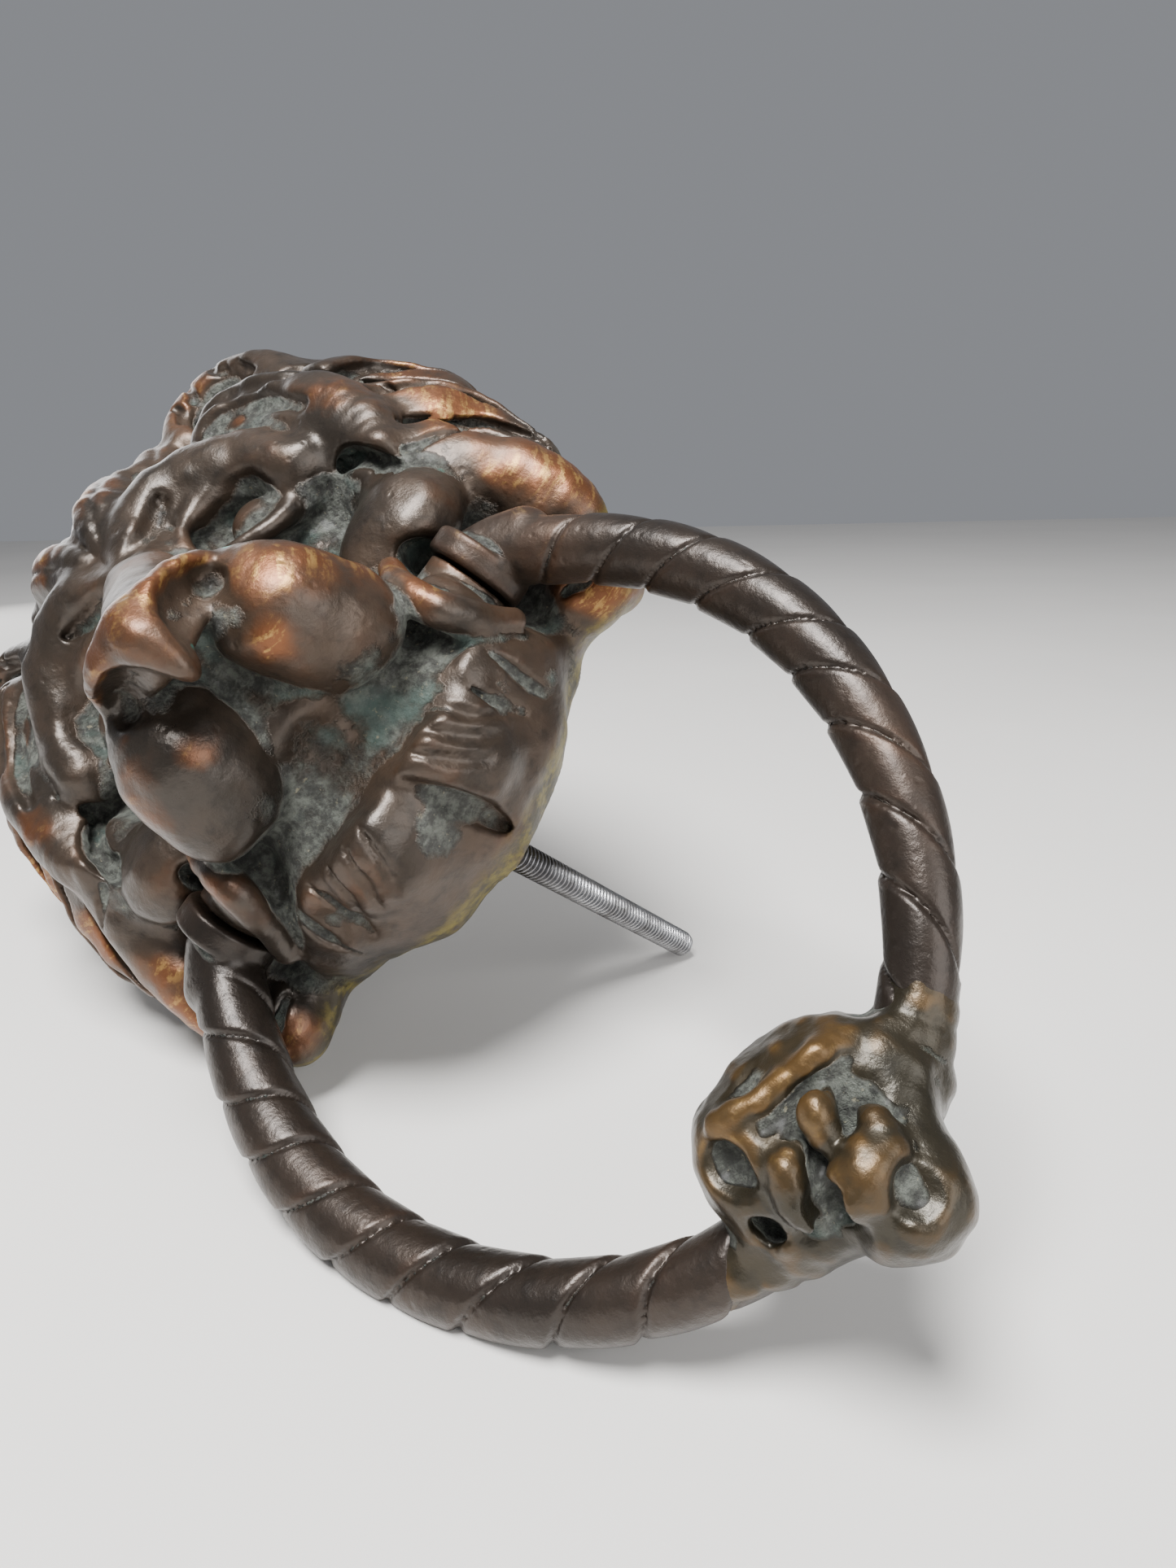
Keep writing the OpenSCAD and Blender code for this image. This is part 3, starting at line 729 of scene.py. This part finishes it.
def bronze_material(name, dark, brown, worn, gold, wear, green, olive=False):
    """Patinated cast bronze: brown skin, rubbed high spots and dull green-grey creases.
    wear and green shift how much is rubbed and how much deposit shows."""
    n = Nodes(name)
    fine, broad, wide = n.attr("fine"), n.attr("broad"), n.attr("wide")
    grime, rub = n.attr("grime"), n.attr("rub")
    cloud = n.noise(26, 5, 0.6)
    grain = n.noise(260, 6, 0.65)
    speck = n.noise(1100, 3, 0.7)
    streak = n.noise(150, 4, 0.6, 0.3, (1.0, 5.0, 1.0))
    col = n.mix(n.step(cloud, 0.35, 0.68), dark, brown)
    col = n.mix(n.step(grain, 0.45, 0.72, 0, 0.6), col, tuple(0.4 * v for v in dark))
    # rubbed high spots
    patch = n.sum(n.scaled(fine, 0.5), (broad, 0.7), (n.off(cloud), 3.0), (n.off(grain), 0.8),
                  (rub, 1.15))
    worn_mask = n.step(patch, 0.9 - wear, 2.3 - wear)
    col = n.mix(n.scaled(worn_mask, 0.8), col, worn)
    flecks = n.scaled(n.step(patch, 1.3 - wear, 2.2 - wear),
                      n.step(n.sum(streak, (speck, 0.4)), 0.70, 0.86))
    col = n.mix(n.scaled(flecks, 0.8), col, gold)
    # dull deposit in the hollows
    sunk = n.sum(n.scaled(fine, -0.7), (broad, -0.9), (wide, -0.5), (grime, 2.3),
                 (n.off(grain), 1.5), (n.off(cloud), 0.9))
    crease = n.step(sunk, 0.50 - 0.6 * green, 1.25 - 0.6 * green)
    dirt = n.mix(n.step(n.noise(420, 5, 0.7), 0.40, 0.64),
                 (0.040, 0.042, 0.037), (0.155, 0.168, 0.143))
    dirt = n.mix(n.scaled(n.step(n.noise(75, 3, 0.6), 0.52, 0.72), 0.7), dirt, (0.095, 0.16, 0.138))
    dirt = n.mix(n.step(n.noise(700, 3, 0.7), 0.62, 0.72, 0, 0.7), dirt, (0.36, 0.33, 0.22))
    col = n.mix(n.scaled(crease, 0.85), col, dirt)
    # turquoise specks
    spots = n.scaled(n.step(n.cells(95), 0.10, 0.055), n.step(n.noise(33, 2), 0.60, 0.66))
    col = n.mix(n.scaled(spots, 0.8), col, (0.05, 0.33, 0.27))
    rough = n.blend(n.step(cloud, 0.3, 0.7), 0.29, 0.44)
    rough = n.blend(crease, n.sum(rough, (n.off(grain), 0.25)), 0.72)
    metal = n.blend(crease, n.blend(worn_mask, 0.55, 0.75), 0.05)
    if olive:
        # mossy stain along the rim under the chin, where y and z are in metres
        band = n.scaled(n.step(n.axis(1), -0.012, -0.005), n.step(n.axis(2), 0.060, 0.035))
        band = n.scaled(band, n.step(n.noise(90, 5, 0.65), 0.34, 0.50))
        moss = n.mix(n.step(n.noise(210, 4, 0.7), 0.42, 0.62),
                     (0.030, 0.024, 0.006), (0.17, 0.135, 0.016))
        col = n.mix(n.scaled(band, 0.9), col, moss)
        rough = n.blend(band, rough, 0.5)
        metal = n.blend(band, metal, 0.25)
    n.link(col, n.bsdf.inputs["Base Color"])
    n.link(rough, n.bsdf.inputs["Roughness"])
    n.link(metal, n.bsdf.inputs["Metallic"])
    pits = n.scaled(n.step(n.cells(330), 0.0, 0.30), n.step(n.noise(60, 3), 0.45, 0.62, 0.25, 1))
    bump = n.bump(pits, 0.35, 0.0003)
    bump = n.bump(grain, 0.4, 0.0007, bump)
    bump = n.bump(n.scaled(crease, n.noise(480, 6, 0.75)), 1.0, 0.0024, bump)
    bump = n.bump(n.noise(70, 3, 0.5), 0.4, 0.0012, bump)
    n.link(bump, n.bsdf.inputs["Normal"])
    n.bsdf.inputs["Coat Weight"].default_value = 0.08
    n.bsdf.inputs["Coat Roughness"].default_value = 0.25
    return n.m


def steel_material(name):
    """Dull grey steel, with painted shade: darker near the head and inside it."""
    n = Nodes(name)
    grime = n.noise(180, 5, 0.6)
    # painted shade: the steel turns darker over the last 30 mm before the head's back and stays dark
    # inside the head, where the head shades it
    near = n.step(n.axis(1), 0.030, 0.0)
    col = n.mix(n.step(grime, 0.4, 0.7), (0.36, 0.36, 0.37), (0.17, 0.165, 0.165))
    col = n.mix(n.scaled(near, 0.6), col, (0.06, 0.055, 0.06))
    n.link(col, n.bsdf.inputs["Base Color"])
    n.link(n.step(grime, 0.3, 0.8, 0.24, 0.5), n.bsdf.inputs["Roughness"])
    n.bsdf.inputs["Metallic"].default_value = 0.95
    n.link(n.bump(n.noise(900, 4, 0.6), 0.2, 0.0002), n.bsdf.inputs["Normal"])
    return n.m


def plain_material(name, colour, rough):
    """Matt and nearly even."""
    n = Nodes(name)
    tone = n.mix(n.step(n.noise(6, 4), 0.35, 0.65), colour, tuple(0.97 * v for v in colour))
    n.link(tone, n.bsdf.inputs["Base Color"])
    n.bsdf.inputs["Roughness"].default_value = rough
    return n.m


def one_sided(m):
    """Nothing is seen of this material from behind."""
    t = m.node_tree
    geo = t.nodes.new("ShaderNodeNewGeometry")
    clear = t.nodes.new("ShaderNodeBsdfTransparent")
    mix = t.nodes.new("ShaderNodeMixShader")
    out = t.nodes["Material Output"]
    t.links.new(geo.outputs["Backfacing"], mix.inputs[0])
    t.links.new(t.nodes["Principled BSDF"].outputs[0], mix.inputs[1])
    t.links.new(clear.outputs[0], mix.inputs[2])
    t.links.new(mix.outputs[0], out.inputs["Surface"])
    return m


head_bronze = bronze_material("head_bronze", (0.034, 0.027, 0.021), (0.072, 0.047, 0.031),
                              (0.20, 0.072, 0.026), (0.42, 0.25, 0.08),
                              wear=-0.2, green=0.75, olive=True)
ring_bronze = bronze_material("ring_bronze", (0.026, 0.020, 0.016), (0.046, 0.031, 0.022),
                              (0.085, 0.042, 0.024), (0.30, 0.20, 0.08), wear=-0.1, green=0.15)
striker_bronze = bronze_material("striker_bronze", (0.026, 0.022, 0.014), (0.055, 0.038, 0.018),
                                 (0.20, 0.105, 0.030), (0.42, 0.27, 0.09), wear=0.25, green=0.7)
stud_steel = steel_material("stud_steel")
pin_steel = steel_material("pin_steel")

# ------------------------------------------------------------------ pieces
clay = finish_head(sculpt_head(HEAD_CELL), HEAD_CELL)
pts, quads, marks = skin(clay, 1.6, 5.0)
# rough casting skin in the hollows, faint hammered unevenness elsewhere
marks["grime"] = patches(pts, GRIME)
marks["rub"] = patches(pts, RUB)
rough = np.clip(-marks["fine"] * 0.6 - marks["broad"] * 0.4 + marks["grime"] * 0.8, 0, 1)
lift = rough * (0.32 * swirl(pts, 1.4, 21) + 0.22 * swirl(pts, 2.6, 23)) + 0.12 * swirl(pts, 3.6, 22)
lift[pts[:, 1] > -0.4] = 0                # the back stays flat
pts = pts + normals(clay, pts) * lift[:, None]
# the near side of the mane is a little narrower than the far side
NEAR_FROM, NEAR_WIDTH = -50, 0.86
near = pts[:, 0] < NEAR_FROM
pts[near, 0] = NEAR_FROM + (pts[near, 0] - NEAR_FROM) * NEAR_WIDTH
piece("lion_head", pts, quads, head_bronze, "head", "head_casting", values=marks)

clay = sculpt_ring(RING_CELL)
pts, quads, marks = skin(clay, 1.0, 2.5)
piece("rope_ring_cast", to_row(pts), quads, ring_bronze, "ring", "rope_ring",
      values=marks)

clay = sculpt_striker(RING_CELL)
pts, quads, marks = skin(clay, 1.0, 2.5)
piece("striker_lump", to_row(pts), quads, striker_bronze, "ring", "striker",
      values=marks)

pts, quads = stud_mesh()
piece("threaded_stud", pts, quads, stud_steel, "head", "mounting_stud")

# domed head inside the socket, then the shaft through it into the ring
PIN_PROFILE = [(19.75, 0.01), (19.8, 3.6), (20.1, 4.6), (20.7, 5.15), (22.0, 5.15), (22.15, 4.9),
               (22.2, 3.0), (48.4, 3.0), (48.9, 2.5), (48.95, 0.01)]
for side, name in ((-1, "left"), (1, "right")):
    pts, quads = lathe(PIN_PROFILE)
    pts[:, 0] *= side
    if side < 0:
        quads = quads[:, ::-1]
    piece(f"{name}_pivot", pts + HINGE, quads, pin_steel, "ring", f"{name}_pivot_pin")

# ------------------------------------------------------------------ stage
# camera: its right and down directions, and where the row frame's origin lies from it
AXIS_X, AXIS_Y = Vector((0.567, -0.824, -0.003)).normalized(), Vector((0.554, 0.378, 0.742))
AXIS_Y = (AXIS_Y - AXIS_X * AXIS_X.dot(AXIS_Y)).normalized()
AXIS_Z = AXIS_X.cross(AXIS_Y)
turn = Matrix((AXIS_X, AXIS_Y, AXIS_Z)).transposed()          # row frame -> lens frame (x right, y down)
place = Vector((-16.6, 12.9, 195.3))
eye = -(turn.transposed() @ place) * MM
world = turn.transposed() @ Matrix(((1, 0, 0), (0, -1, 0), (0, 0, -1)))
lens = bpy.data.cameras.new("camera")
lens.sensor_fit = "VERTICAL"
SENSOR = 24.0
lens.sensor_height = SENSOR
lens.lens = SENSOR * 1206.0 / 1927.0      # focal length over picture height, from the camera fit
lens.clip_start = 0.01
camera = bpy.data.objects.new("camera", lens)
bpy.context.scene.collection.objects.link(camera)
camera.matrix_world = Matrix.Translation(eye) @ world.to_4x4()
bpy.context.scene.camera = camera

# floor that the knocker lies on: its upward direction, and its half width in metres
UP = Vector((0.765, -0.609, 0.209)).normalized()
FLOOR_HALF, FLOOR_GAP = 1.6, 0.003
foot = Vector((0.0, STUD_TO * MM, 0.0)) - UP * FLOOR_GAP
side_a = UP.orthogonal().normalized()
side_b = UP.cross(side_a)
me = bpy.data.meshes.new("floor")
corners = [foot + side_a * FLOOR_HALF * i + side_b * FLOOR_HALF * j
           for i, j in ((-1, -1), (1, -1), (1, 1), (-1, 1))]
me.from_pydata(corners, [], [(0, 1, 2, 3)])
floor = bpy.data.objects.new("floor", me)
bpy.context.scene.collection.objects.link(floor)
me.materials.append(one_sided(plain_material("floor", (0.74, 0.72, 0.69), 0.85)))


def lamp(name, direction, distance, size, power):
    """Round area light in a direction from the knocker's middle, facing it; metres and watts."""
    data = bpy.data.lights.new(name, "AREA")
    data.shape = "DISK"
    data.size = size
    data.energy = power
    ob = bpy.data.objects.new(name, data)
    bpy.context.scene.collection.objects.link(ob)
    d = Vector(direction).normalized()
    centre = Vector((0.0, -0.02, 0.05))
    ob.location = centre + d * distance
    ob.rotation_euler = (-d).to_track_quat("-Z", "Y").to_euler()


back = Vector(world.col[2])
right = Vector(world.col[0])
lamp("key", UP * 1.0 + back * 0.45 - right * 0.15, 0.8, 0.4, 20)
lamp("fill", back * 1.0 + right * 0.9 + UP * 0.2, 0.9, 0.7, 5)
lamp("rim", UP * 0.5 - back * 0.8 - right * 0.6, 0.9, 0.5, 2.5)
sky = bpy.data.worlds.new("studio")
bpy.context.scene.world = sky
sky.use_nodes = True
sky.node_tree.nodes["Background"].inputs[0].default_value = (0.9, 0.93, 1.0, 1)
sky.node_tree.nodes["Background"].inputs[1].default_value = 0.28
